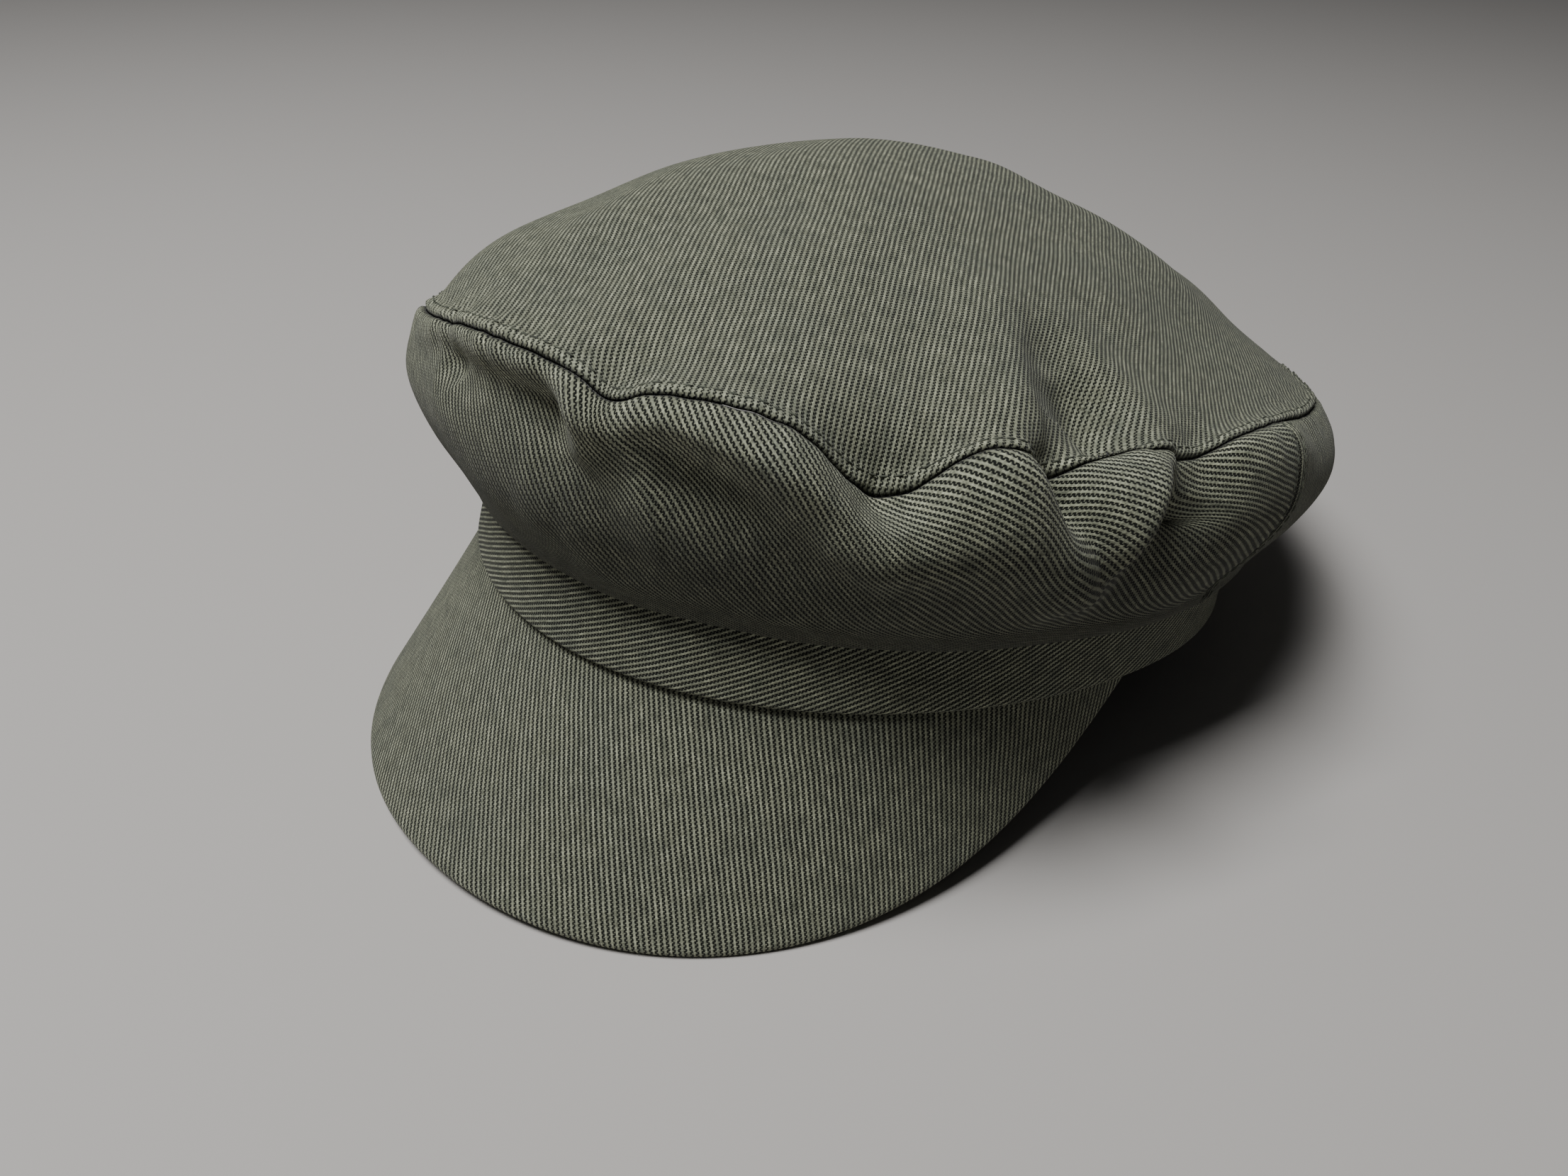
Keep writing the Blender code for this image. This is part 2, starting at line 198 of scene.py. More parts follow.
def make_floor():
    """Plain pale floor, level with the surface that the cap rests on."""
    floor_mesh = bpy.data.meshes.new("floor")
    grid = bmesh.new()
    bmesh.ops.create_grid(grid, x_segments=1, y_segments=1, size=FLOOR_SIZE / 2)
    grid.to_mesh(floor_mesh)
    grid.free()
    paper = bpy.data.materials.new("matt_paper")
    paper.use_nodes = True
    shader = paper.node_tree.nodes["Principled BSDF"]
    shader.inputs["Base Color"].default_value = linear("#aeaba8")
    shader.inputs["Roughness"].default_value = 0.9
    floor_mesh.materials.append(paper)
    floor = bpy.data.objects.new("floor", floor_mesh)
    bpy.context.scene.collection.objects.link(floor)


def make_panel(name, place, size, power):
    """Square light panel that faces the cap."""
    panel = bpy.data.lights.new(name, "AREA")
    panel.size = size
    panel.energy = power
    lamp = bpy.data.objects.new(name, panel)
    lamp.location = place
    lamp.rotation_euler = (-Vector(place)).to_track_quat("-Z", "Y").to_euler()
    bpy.context.scene.collection.objects.link(lamp)


def make_room_light():
    """Even light from all round."""
    world = bpy.data.worlds.new("room")
    world.use_nodes = True
    world.node_tree.nodes["Background"].inputs["Color"].default_value = linear("#f2f2f2")
    world.node_tree.nodes["Background"].inputs["Strength"].default_value = ROOM_LIGHT
    bpy.context.scene.world = world


make_floor()
make_panel("key_panel", KEY_PLACE, KEY_SIZE, KEY_POWER)
make_panel("front_panel", FRONT_PLACE, FRONT_SIZE, FRONT_POWER)
make_room_light()
print("floor and lights made")

# %% [markdown]
# The crown's shape
#
# The crown is one smooth surface, from the fold that hangs over the headband up to the middle of
# the top. It could be sculpted, but a table of rows is easier to change: each row is an oval with
# its own width, length and four heights, and a smooth curve joins them. The seam waves up and
# down where the cloth slumps, and each fold is a line on the surface with a rise and a spread.

# %% Crown sizes and tables
PEAK_LENGTH = 51.4 * MM
PEAK_WALL = 3.0 * MM
PEAK_END = 2.0 * MM
PEAK_REACH = np.radians(81.6)
PEAK_FULLNESS = 2.81
PEAK_SLOPE_FRONT = np.radians(59.4)
PEAK_SLOPE_END = np.radians(83.5)
CROWN_SIDE_OVERHANG = 15.3 * MM
CROWN_END_OVERHANG = 19.5 * MM
CROWN_HEIGHT = 92.0 * MM
CLOTH_WALL = 1.1 * MM
FOLD_LEVEL = 0.58
FOLD_NOSE = 3.2 * MM
FOLD_TURN = 2.4 * MM
TUCK_LEVEL = 0.94
FOLD_DEPTH = 5.5 * MM
FOLD_WIDTH = 10.0 * MM
WAVE_DEPTH = 9.5 * MM

SideRow = namedtuple("SideRow", "name width length front left back right")
SIDE_ROWS = (
    SideRow("lower", 0.11, 0.21, 0.065, 0.098, 0.072, 0.065),
    SideRow("middle", 0.65, 0.65, 0.183, 0.229, 0.190, 0.170),
    SideRow("widest", 1.00, 1.00, 0.320, 0.366, 0.294, 0.281),
    SideRow("shoulder", 0.76, 1.04, 0.444, 0.464, 0.373, 0.379),
    SideRow("seam", 0.16, 0.87, 0.556, 0.542, 0.438, 0.451),
)
TopRow = namedtuple("TopRow", "name size front left back right")
TOP_ROWS = (
    TopRow("edge", 0.925, 0.621, 0.569, 0.510, 0.569),
    TopRow("low", 0.787, 0.712, 0.641, 0.621, 0.706),
    TopRow("half", 0.590, 0.837, 0.771, 0.778, 0.856),
    TopRow("high", 0.360, 0.948, 0.902, 0.902, 0.961),
    TopRow("near", 0.150, 0.993, 0.980, 0.980, 0.997),
    TopRow("middle", 0.000, 1.000, 1.000, 1.000, 1.000),
)
FOLD_ROW = 3
WIDEST_ROW = FOLD_ROW + 3
SEAM_ROW = FOLD_ROW + len(SIDE_ROWS)
LAST_ROW = SEAM_ROW + len(TOP_ROWS)

# A wave of the seam: middle and spread in degrees, rise and reach as shares of WAVE_DEPTH
Wave = namedtuple("Wave", "name angle spread rise reach")
WAVES = (
    Wave("right slump", -36, 22.0, -0.74, 0.00),
    Wave("first dip", 14.8, 4.2, -0.47, -0.12),
    Wave("deep dip", 42, 7.2, -1.00, -0.11),
    Wave("second dip", 58, 3.6, -0.53, -0.21),
    Wave("side rise", 66, 5.0, 0.16, 0.00),
    Wave("last dip", 76, 4.5, -0.26, -0.11),
    Wave("side seam", 90, 9.0, 0.21, 0.00),
)
WAVE_ROWS_BELOW = 2.2
WAVE_ROWS_ABOVE = 0.8

# A fold: three places (degrees, row), its rise at each as a share of FOLD_DEPTH, and its spread
# left and right of the line as shares of FOLD_WIDTH. It is round at crease 2, sharper below.
Fold = namedtuple("Fold", "name start middle end rise spread crease")
FOLDS = (
    Fold("right hollow", (-14, 7.2), (-2, 7.1), (7, 7.0), (-0.36, -0.75, -1.2), (0.45, 1.4), 2.0),
    Fold("right lip", (-30, 7.9), (-14, 7.8), (4, 7.8), (0.27, 0.22, 0.27), (0.4, 0.4), 2.0),
    Fold("right notch", (-11, 7.5), (-9.5, 7.2), (-8, 6.9), (-0.27, -0.45, -0.18), (0.5, 0.5), 2.0),
    Fold("first edge", (9, 8.1), (10.8, 7.6), (12.3, 6.8), (0.15, 0.6, 0.65), (0.6, 0.35), 1.6),
    Fold("long ridge", (15, 7.5), (28, 7.3), (42, 6.75), (0.35, 1.05, 0.95), (0.6, 0.55), 1.6),
    Fold("long hollow", (17, 6.95), (25, 6.7), (33, 6.1), (-0.5, -1.1, -0.6), (0.5, 1.2), 2.0),
    Fold("scoop", (39, 7.7), (42, 7.6), (45, 7.7), (-0.45, -0.7, -0.45), (0.7, 0.8), 2.0),
    Fold("scoop rim", (42, 6.75), (47, 7.0), (51, 7.6), (0.27, 0.55, 0.36), (0.5, 0.9), 2.0),
    Fold("middle ridge", (51, 7.75), (55.5, 7.0), (60.5, 5.7), (0.36, 0.55, 0.45), (0.35, 1.0), 2.0),
    Fold("crease", (57.5, 8.0), (59.5, 6.9), (63, 5.3), (-0.55, -0.85, -0.4), (0.5, 0.25), 1.3),
    Fold("shelf edge", (70, 7.7), (66.3, 6.9), (63, 5.2), (0.35, 0.8, 0.6), (0.4, 0.8), 1.6),
    Fold("dark valley", (75, 7.3), (73, 6.5), (70, 5.5), (-0.9, -1.6, -1.0), (1.2, 0.7), 2.0),
    Fold("left shoulder", (77, 7.8), (84, 7.6), (92, 7.5), (0.45, 0.55, 0.36), (0.4, 0.7), 2.0),
    Fold("low bulge", (2, 5.3), (5, 5.2), (8, 5.1), (0.18, 0.27, 0.18), (1.4, 1.4), 2.0),
    Fold("low valley", (12.5, 6.2), (15, 5.0), (17, 4.0), (-0.18, -0.27, -0.09), (0.6, 0.6), 2.0),
    Fold("top crease", (56.5, 10.6), (55, 9.7), (57.3, 8.4), (0.2, 0.5, 0.35), (0.45, 1.2), 1.8),
    Fold("top dent", (63.5, 10.0), (65.5, 9.3), (65, 8.6), (-0.5, -1.6, -1.1), (0.8, 0.9), 2.0),
    Fold("top ridge", (69, 10.4), (71, 9.7), (73, 8.8), (0.18, 0.3, 0.2), (0.7, 0.7), 2.0),
    Fold("top crest", (-10, 8.75), (-15, 10.25), (-20, 11.25), (0.15, 0.22, 0.11), (1.0, 1.0), 2.0),
)
FOLD_STEPS = 9
FOLD_SIDE_BLEND = 0.25
print(len(FOLDS), "folds,", len(WAVES), "waves")


# %% Crown surface
def crown_rows():
    """Half width, half length and the heights at front, left, back and right of each row."""
    fold = FOLD_LEVEL * BAND_HEIGHT
    dips = np.array([-BAND_FRONT_DROP, BAND_SIDE_LIFT, 0.0, BAND_SIDE_LIFT])
    band = np.array([BAND_HALF_WIDTH, BAND_HALF_LENGTH])
    tuck = TUCK_LEVEL * BAND_HEIGHT
    turn = fold + FOLD_TURN
    nose = band + fold * np.tan(BAND_FLARE) + GAP
    widest = band + [CROWN_SIDE_OVERHANG, CROWN_END_OVERHANG]
    rows = [
        (*(band + tuck * np.tan(BAND_FLARE) + GAP), *(tuck + dips)),
        (*(band + turn * np.tan(BAND_FLARE) + GAP), *(turn + dips / 2)),
        (*(nose + FOLD_NOSE / 2), *(fold + dips / 2)),
        (*(nose + FOLD_NOSE), *(fold + FOLD_TURN + dips / 2)),
    ]
    rise = CROWN_HEIGHT - fold
    for row in SIDE_ROWS:
        reach = [row.width, row.length] * (widest - nose - FOLD_NOSE)
        rows.append((*(nose + FOLD_NOSE + reach), *(fold + rise * np.array(row[3:]))))
    seam = np.array(rows[-1][:2])
    for row in TOP_ROWS:
        rows.append((*(seam * row.size), *(fold + rise * np.array(row[2:]))))
    return np.array(rows)


def smooth_rows(table, row):
    """Value of the table at a row number, on a smooth curve through its rows."""
    ends = np.concatenate([2 * table[:1] - table[1:2], table, 2 * table[-1:] - table[-2:-1]])
    first = np.clip(np.floor(row).astype(int), 0, len(table) - 2)
    part = (row - first)[..., None]
    before, low, high, after = (ends[first + step] for step in range(4))
    bend = 2 * before - 5 * low + 4 * high - after
    twist = 3 * (low - high) + after - before
    return low + 0.5 * part * (high - before + part * (bend + part * twist))


def crown_base(angle, row):
    """Crown without its folds, but with the waves of its seam."""
    values = smooth_rows(crown_rows(), row)
    front = np.maximum(np.cos(angle), 0) ** 2
    back = np.maximum(-np.cos(angle), 0) ** 2
    left = np.maximum(np.sin(angle), 0) ** 2
    right = np.maximum(-np.sin(angle), 0) ** 2
    level = np.sum(values[..., 2:] * np.stack([front, left, back, right], -1), -1)
    spread = np.where(row > SEAM_ROW, WAVE_ROWS_ABOVE, WAVE_ROWS_BELOW)
    near = np.exp(-((row - SEAM_ROW) / spread) ** 2) * np.clip(row / FOLD_ROW, 0, 1)
    reach = np.zeros_like(level)
    for wave in WAVES:
        off = (np.degrees(angle) - wave.angle + 180) % 360 - 180
        pull = WAVE_DEPTH * np.exp(-(off / wave.spread) ** 2) * near
        level = level + wave.rise * pull
        reach = reach + wave.reach * pull
    x = values[..., 0] * np.sin(angle)
    y = -values[..., 1] * np.cos(angle)
    radius = np.maximum(np.hypot(x, y), FOLD_WIDTH)
    return np.stack([x * (1 + reach / radius), y * (1 + reach / radius), level], -1)


def outward(surface, angle, row):
    """Outward direction of the crown, by small steps along it."""
    step = 0.001
    row = np.minimum(row, LAST_ROW - 0.02)
    round_way = surface(angle + step, row) - surface(angle - step, row)
    up_way = surface(angle, row + step) - surface(angle, np.maximum(row - step, 0))
    normal = np.cross(round_way, up_way)
    return normal / np.linalg.norm(normal, axis=-1, keepdims=True)


def fold_line(fold):
    """Points along a fold on the crown, and its rise at each."""
    share = np.linspace(0, 1, FOLD_STEPS)
    ends = [(1 - share) * (1 - 2 * share), share * (2 * share - 1)]
    weights = np.stack([ends[0], 4 * share * (1 - share), ends[1]], -1)
    way = weights @ np.array([fold.start, fold.middle, fold.end])
    return crown_base(np.radians(way[:, 0]), way[:, 1]), weights @ np.array(fold.rise) * FOLD_DEPTH


def fold_rise(point, normal):
    """How far the folds lift or sink each point of the crown."""
    total = np.zeros(len(point))
    for fold in FOLDS:
        line, rise = fold_line(fold)
        reach = np.ptp(line, axis=0).max() + 3 * max(fold.spread) * FOLD_WIDTH
        near = np.flatnonzero(np.linalg.norm(point - line.mean(0), axis=1) < reach)
        spot = point[near]
        nearest = np.full(len(spot), np.inf)
        aside = np.zeros(len(spot))
        lift = np.zeros(len(spot))
        for start, end, start_rise, end_rise in zip(line[:-1], line[1:], rise[:-1], rise[1:]):
            run = end - start
            part = np.clip((spot - start) @ run / (run @ run), 0, 1)
            away = spot - start - part[:, None] * run
            distance = np.linalg.norm(away, axis=1)
            closer = distance < nearest
            sideways = np.sum(np.cross(run, away) * normal[near], axis=1) / np.linalg.norm(run)
            nearest = np.where(closer, distance, nearest)
            aside = np.where(closer, sideways, aside)
            lift = np.where(closer, start_rise + part * (end_rise - start_rise), lift)
        leftness = 0.5 + 0.5 * np.tanh(aside / (FOLD_SIDE_BLEND * FOLD_WIDTH))
        spread = FOLD_WIDTH * (fold.spread[0] * leftness + fold.spread[1] * (1 - leftness))
        total[near] += lift * np.exp(-(nearest / spread) ** fold.crease)
    return total


# %% [markdown]
# Relief of the sewing
#
# Along the crown's seam the raw edges are folded under the top panel and stitched down, so a
# narrow raised strip runs round the top, with a groove at the seam and a small dip at the row of
# stitches. Sewing a long edge to a short one also leaves puckers. Both are functions of the
# distance from the seam, and so is a mark that later tells the material where cloth is rubbed
# pale or lies in a groove. On the side panels the same mark also carries painted shade, which
# darkens their lower rows.

# %% Seam relief and puckers
RIDGE_WIDTH = 2.5 * MM
RIDGE_RISE = 0.42 * MM
GROOVE_DEPTH = 0.55 * MM
GROOVE_WIDTH = 0.38 * MM
PUCKER_PITCH = 7.5 * MM
PUCKER_RISE = 0.22 * MM
PUCKER_REACH = 7.0 * MM
PUCKER_COUNT = round(np.pi * (BAND_HALF_WIDTH + BAND_HALF_LENGTH) / PUCKER_PITCH)
RIPPLE_RISE = 0.50 * MM
RIPPLE_LENGTH = 32.0 * MM
RIPPLE_COUNT = 10
RIPPLE_SEED = 7


def ease(low, high, value):
    """Smooth step from 0 at low to 1 at high."""
    share = np.clip((value - low) / (high - low), 0, 1)
    return share * share * (3 - 2 * share)


def row_height(angle):
    """Length of cloth in one row of the table, at the crown's seam."""
    step = 0.01
    seam = np.full_like(angle, SEAM_ROW)
    run = crown_base(angle, seam + step) - crown_base(angle, seam - step)
    return np.linalg.norm(run, axis=-1) / (2 * step)


def seam_distance(angle, row):
    """Distance above the crown's seam, measured along the cloth; negative below it."""
    return (row - SEAM_ROW) * row_height(angle)


def seam_relief(away):
    """Height of the sewn edge at a distance from the seam."""
    groove = -GROOVE_DEPTH * np.exp(-(away / GROOVE_WIDTH) ** 2)
    inner, outer = RIDGE_WIDTH - 0.4 * MM, RIDGE_WIDTH + 0.6 * MM
    ridge = RIDGE_RISE * ease(0.2 * MM, 0.9 * MM, away) * (1 - ease(inner, outer, away))
    dip = -0.12 * MM * np.exp(-((away - RIDGE_WIDTH + 0.3 * MM) / (0.35 * MM)) ** 2)
    below = 0.2 * MM * np.exp(-((away + 1.6 * MM) / (1.2 * MM)) ** 2)
    return groove + ridge + dip + below


def ripples(point):
    """Slow unevenness of soft cloth, as a sum of waves in fixed random directions."""
    rng = np.random.default_rng(RIPPLE_SEED)
    total = np.zeros(len(point))
    for _ in range(RIPPLE_COUNT):
        way = rng.normal(size=3)
        way *= 2 * np.pi / np.linalg.norm(way) / (RIPPLE_LENGTH * rng.uniform(0.6, 1.6))
        total += np.sin(point @ way + rng.uniform(0, 2 * np.pi))
    return RIPPLE_RISE * total / np.sqrt(RIPPLE_COUNT)


def puckers(angle, away):
    """Short waves across the seam, of uneven pitch, that fade away from it; whole numbers of them
    go round the cap, so they meet where they began."""
    long = np.sin(angle * PUCKER_COUNT + 1.7 * np.sin(angle * (PUCKER_COUNT // 3)))
    short = 0.5 * np.sin(angle * (PUCKER_COUNT * 7 // 4) + 1.0)
    return PUCKER_RISE * (long + short) * np.exp(-(np.abs(away) / PUCKER_REACH) ** 1.5)


def crown_surface(angle, row):
    """Fine outside of the crown: base, folds, ripples, puckers and the sewn edge."""
    shape = angle.shape
    angle, row = angle.ravel(), row.ravel()
    point = crown_base(angle, row)
    normal = outward(crown_base, angle, row)
    away = seam_distance(angle, row)
    free = np.clip((row - 1) / FOLD_ROW, 0, 1)
    lift = free * (fold_rise(point, normal) + ripples(point) + puckers(angle, away)) + seam_relief(away)
    return (point + normal * lift[:, None]).reshape(*shape, 3), away.reshape(shape)


# %% [markdown]
# Cloth from a grid
#
# Each panel is a grid of points laid on its surface and given a wall with Solidify. Its UV map
# is the flat pattern that the panel was cut to, in metres, so that the weave runs straight on the
# flat cloth and bends with the panel, as it does on the real cap.

# %% Mesh helpers
def grid_object(name, points, pattern, mark, loop_round=False, loop_up=False):
    """Mesh of a grid of points, with its flat pattern as a UV map and a mark on each point."""
    across, up = points.shape[:2]
    columns = np.arange(across if loop_round else across - 1)
    lines = np.arange(up if loop_up else up - 1)
    column, line = (grid.ravel() for grid in np.meshgrid(columns, lines, indexing="ij"))
    corners = [(column, line), (column + 1, line), (column + 1, line + 1), (column, line + 1)]
    index = np.stack([(i % across) * up + j % up for i, j in corners], -1)
    spots = np.stack([i * pattern.shape[1] + j for i, j in corners], -1)
    mesh = bpy.data.meshes.new(name)
    mesh.vertices.add(across * up)
    mesh.vertices.foreach_set("co", points.reshape(-1).astype(np.float32))
    mesh.loops.add(index.size)
    mesh.loops.foreach_set("vertex_index", index.ravel())
    mesh.polygons.add(len(index))
    mesh.polygons.foreach_set("loop_start", np.arange(0, index.size, 4))
    mesh.update(calc_edges=True)
    weave = mesh.uv_layers.new(name="pattern")
    weave.data.foreach_set("uv", pattern.reshape(-1, 2)[spots.ravel()].ravel().astype(np.float32))
    # The mark holds real wear and seam grooves and, on the side panels, painted shade.
    wear_and_shade = mesh.attributes.new("wear_and_shade", "FLOAT", "POINT")
    wear_and_shade.data.foreach_set("value", mark.reshape(-1).astype(np.float32))
    mesh.transform(TABLE)
    mesh.shade_smooth()
    mesh.validate()
    piece = bpy.data.objects.new(name, mesh)
    bpy.context.scene.collection.objects.link(piece)
    return piece


def merge_close(piece, distance):
    """Joins corners that lie on each other, such as a closed ring's ends or a pole."""
    shape = bmesh.new()
    shape.from_mesh(piece.data)
    bmesh.ops.remove_doubles(shape, verts=shape.verts, dist=distance)
    shape.to_mesh(piece.data)
    shape.free()


def press_flat(piece):
    """Presses flat on the table whatever would reach below it, as the cap's own weight does."""
    places = np.empty(len(piece.data.vertices) * 3)
    piece.data.vertices.foreach_get("co", places)
    places[2::3] = np.maximum(places[2::3], 0)
    piece.data.vertices.foreach_set("co", places)
    piece.data.update()


def add_wall(piece, thickness):
    """Gives an open sheet its thickness, inwards."""
    wall = piece.modifiers.new("wall", "SOLIDIFY")
    wall.thickness = thickness
    wall.offset = -1
    wall.use_even_offset = False


# %% [markdown]
# Denim twill
#
# Denim is a twill: each warp thread passes over several weft threads, one step later than its
# neighbour, so the floats line up in diagonal ribs with small dark pits between them. The ribs
# are a millimetre apart, as on heavy denim, and the pits along them a little closer. A picture of
# cloth could be wrapped round each panel, but it would stretch at the folds and repeat. Here the
# pattern is worked out from the UV map in real millimetres: pale rib tops, dark pits, and soft
# streaks where single threads took the dye differently. Cotton has only a faint sheen.

# %% Denim twill material
RIB_PITCH = 1.0 * MM
PIT_PITCH = 0.72 * MM
PIT_STEP = 0.4
WEAVE_RELIEF = 0.22 * MM
THREAD_PALE = "#bcbfa4"
THREAD_MID = "#8b907d"
THREAD_DARK = "#181b17"
THREAD_BLUE = "#7b837b"


def denim_twill(name, rib_angle, tint, pit_depth, rib_pitch=RIB_PITCH):
    """Faded grey-green denim whose ribs run at an angle, in degrees, on the flat pattern."""
    cloth = bpy.data.materials.new(name)
    cloth.use_nodes = True
    tree = cloth.node_tree
    shader = tree.nodes["Principled BSDF"]

    def calc(operation, first, second=0.0, third=0.0):
        inputs = {0: first, 1: second, 2: third}
        return add_node(tree, "ShaderNodeMath", inputs, operation=operation).outputs[0]

    def noise(space, scale, detail):
        inputs = {"Vector": space, "Scale": scale, "Detail": detail}
        return add_node(tree, "ShaderNodeTexNoise", inputs).outputs[0]

    def mix(share, first, second):
        inputs = {0: share, 6: first, 7: second}
        return add_node(tree, "ShaderNodeMix", inputs, data_type="RGBA").outputs[2]

    flat = add_node(tree, "ShaderNodeUVMap", uv_map="pattern").outputs[0]
    turn = {"Vector": flat, "Angle": np.radians(-rib_angle)}
    turned = add_node(tree, "ShaderNodeVectorRotate", turn, rotation_type="Z_AXIS").outputs[0]
    split = add_node(tree, "ShaderNodeSeparateXYZ", {0: turned})
    wander = calc("MULTIPLY_ADD", noise(flat, 90.0, 2.0), 0.5, -0.25)
    across = calc("ADD", calc("DIVIDE", split.outputs[1], rib_pitch), wander)
    rib = calc("FLOOR", across)
    side = calc("ABSOLUTE", calc("SUBTRACT", calc("FRACT", across), 0.5))
    steps = calc("DIVIDE", split.outputs[0], rib_pitch * PIT_PITCH / RIB_PITCH)
    along = calc("MULTIPLY_ADD", rib, PIT_STEP, steps)
    beat = calc("MULTIPLY_ADD", calc("COSINE", calc("MULTIPLY", along, 2 * np.pi)), 0.5, 0.5)
    number = calc("FLOOR", calc("ADD", along, 0.5))
    cell = add_node(tree, "ShaderNodeCombineXYZ", {0: number, 1: rib}).outputs[0]
    chance = add_node(tree, "ShaderNodeTexWhiteNoise", {"Vector": cell}, noise_dimensions="2D").outputs[0]
    edge = {0: side, 1: 0.12, 2: 0.42}
    valley = add_node(tree, "ShaderNodeMapRange", edge, interpolation_type="SMOOTHSTEP").outputs[0]
    uneven = calc("MULTIPLY_ADD", chance, 0.7, 0.72)
    depth = calc("MULTIPLY_ADD", beat, 1.05 * pit_depth, 0.15 * pit_depth)
    depth = calc("MULTIPLY", depth, uneven)
    fuzz = {0: noise(flat, 2600.0, 2.0), 1: 0.3, 2: 0.7}
    lint = add_node(tree, "ShaderNodeMapRange", fuzz).outputs[0]
    pit = calc("MINIMUM", calc("MULTIPLY", valley, depth), 1.0)

    streaks = {"Vector": turned, "Scale": (260.0, 850.0, 1.0)}
    streaks = add_node(tree, "ShaderNodeMapping", streaks).outputs[0]
    fade = {0: noise(streaks, 1.0, 2.0), 1: 0.25, 2: 0.75}
    fade = add_node(tree, "ShaderNodeMapRange", fade).outputs[0]
    thread = mix(fade, linear(THREAD_MID), linear(THREAD_PALE))
    patches = {0: noise(flat, 60.0, 4.0), 1: 0.45, 2: 0.8, 4: 0.35}
    blue = add_node(tree, "ShaderNodeMapRange", patches).outputs[0]
    woven = mix(pit, mix(blue, thread, linear(THREAD_BLUE)), linear(THREAD_DARK))
    # This attribute brings real wear, dark seam grooves and, on the side panels, painted shade.
    mark = add_node(tree, "ShaderNodeAttribute", attribute_name="wear_and_shade").outputs["Fac"]
    rub_and_shade = calc("MULTIPLY_ADD", mark, 0.35, tint)
    mottle = calc("MULTIPLY_ADD", noise(flat, 280.0, 3.0), 0.8, 0.6)
    speck = calc("MULTIPLY", calc("MULTIPLY_ADD", lint, 0.8, 0.6), mottle)
    float_tone = calc("MULTIPLY_ADD", chance, 0.4, 0.8)
    bright = calc("MULTIPLY", rub_and_shade, calc("MULTIPLY", speck, float_tone))
    colour = {0: woven, "Scale": bright}
    colour = add_node(tree, "ShaderNodeVectorMath", colour, operation="SCALE").outputs[0]

    height = calc("SUBTRACT", calc("MULTIPLY", lint, 0.3), pit)
    relief = {"Height": height, "Strength": 1.0, "Distance": WEAVE_RELIEF}
    bump = add_node(tree, "ShaderNodeBump", relief)
    tree.links.new(colour, shader.inputs["Base Color"])
    tree.links.new(bump.outputs[0], shader.inputs["Normal"])
    shader.inputs["Roughness"].default_value = 0.92
    shader.inputs["Sheen Weight"].default_value = 0.08
    shader.inputs["Sheen Roughness"].default_value = 0.5
    shader.inputs["Specular IOR Level"].default_value = 0.2
    return cloth


# %% [markdown]
# The top panel
#
# An oval of denim, domed by the head it is made for. Its grid runs round in angles and up in
# rows, with close rows where the seam's relief is. Its flat pattern keeps every point at its true
# distance from the middle, measured along the cloth, so the ribs stay even down to the seam.

# %% Top panel
TOP_ANGLES = 520
TOP_RIB_ANGLE = 123.0
FINE_STEP = 0.4 * MM
ROW_LENGTH = 8.5 * MM


def seam_rows(steps, side):
    """Row numbers close to the seam, a fine step apart, for the top (1) or the side (-1)."""
    return SEAM_ROW + side * np.arange(steps) * FINE_STEP / ROW_LENGTH


def bell(away, spread):
    """Smooth bump of height 1 that fades within about its spread."""
    return np.exp(-(away / spread) ** 2)


def dome_pattern(points):
    """Flat pattern of a dome: each point at its true distance along the cloth from the middle."""
    steps = np.linalg.norm(np.diff(points, axis=1), axis=-1)
    cloth = np.cumsum(steps[:, ::-1], axis=1)[:, ::-1]
    cloth = np.concatenate([cloth, np.zeros((len(cloth), 1))], axis=1)
    plan = np.hypot(points[..., 0], points[..., 1])
    return points[..., :2] * (cloth / np.maximum(plan, 0.1 * MM))[..., None]


def make_top():
    """Fine top panel with its sewn edge."""
    angle = np.linspace(-np.pi, np.pi, TOP_ANGLES + 1)
    close = seam_rows(15, 1) + 0.005
    row = np.concatenate([close, np.linspace(close[-1], LAST_ROW, 62)[1:]])
    angle, row = np.meshgrid(angle, row, indexing="ij")
    points, away = crown_surface(angle, row)
    pattern = dome_pattern(crown_base(angle, row))
    edge = 0.5 * bell(away - 0.5 * RIDGE_WIDTH, 0.4 * RIDGE_WIDTH) - 1.6 * bell(away, 0.5 * MM)
    piece = grid_object("cap_top", points, pattern, edge)
    merge_close(piece, 0.01 * MM)
    add_wall(piece, CLOTH_WALL)
    piece.data.materials.append(denim_twill("denim_twill_top", TOP_RIB_ANGLE, 0.54, 1.25))
    return piece


cap_top = make_top()
print("top panel", len(cap_top.data.vertices), "corners")

# %% [markdown]
# The side panels
#
# The front and back panels are curved strips, because the crown is wider than the head. A strip
# cut flat from straight cloth shows its ribs turning slowly along it, so the UV map bends the
# strip as a ring sector. A seam at each side of the cap joins them, pressed open and stitched
# down on both sides.

# %% Side panels
SIDE_RIB_ANGLE = -56.0
SIDE_TURN = 0.37
SIDE_RADIUS = 105.0 * MM
SIDE_SEAM = 90.0
SIDE_SEAM_REACH = 6.0 * MM
SIDE_SEAM_RISE = 0.25 * MM
# Painted shade: the colour of the side panels is darkened by SHADE_DEPTH below row 4.8, fading out by row
# 7.5, to stand for the shade under the crown.
SHADE_DEPTH = 0.9
SHADE_ROWS = (4.8, 7.5)


def side_seam_relief(angle, end):
    """Flat raised strip beside a side seam, with a groove at the seam itself."""
    away = np.abs(angle - end) * SIDE_RADIUS
    strip = SIDE_SEAM_RISE * (1 - ease(SIDE_SEAM_REACH * 0.7, SIDE_SEAM_REACH, away))
    return strip - 0.5 * MM * bell(away, 0.5 * MM), away


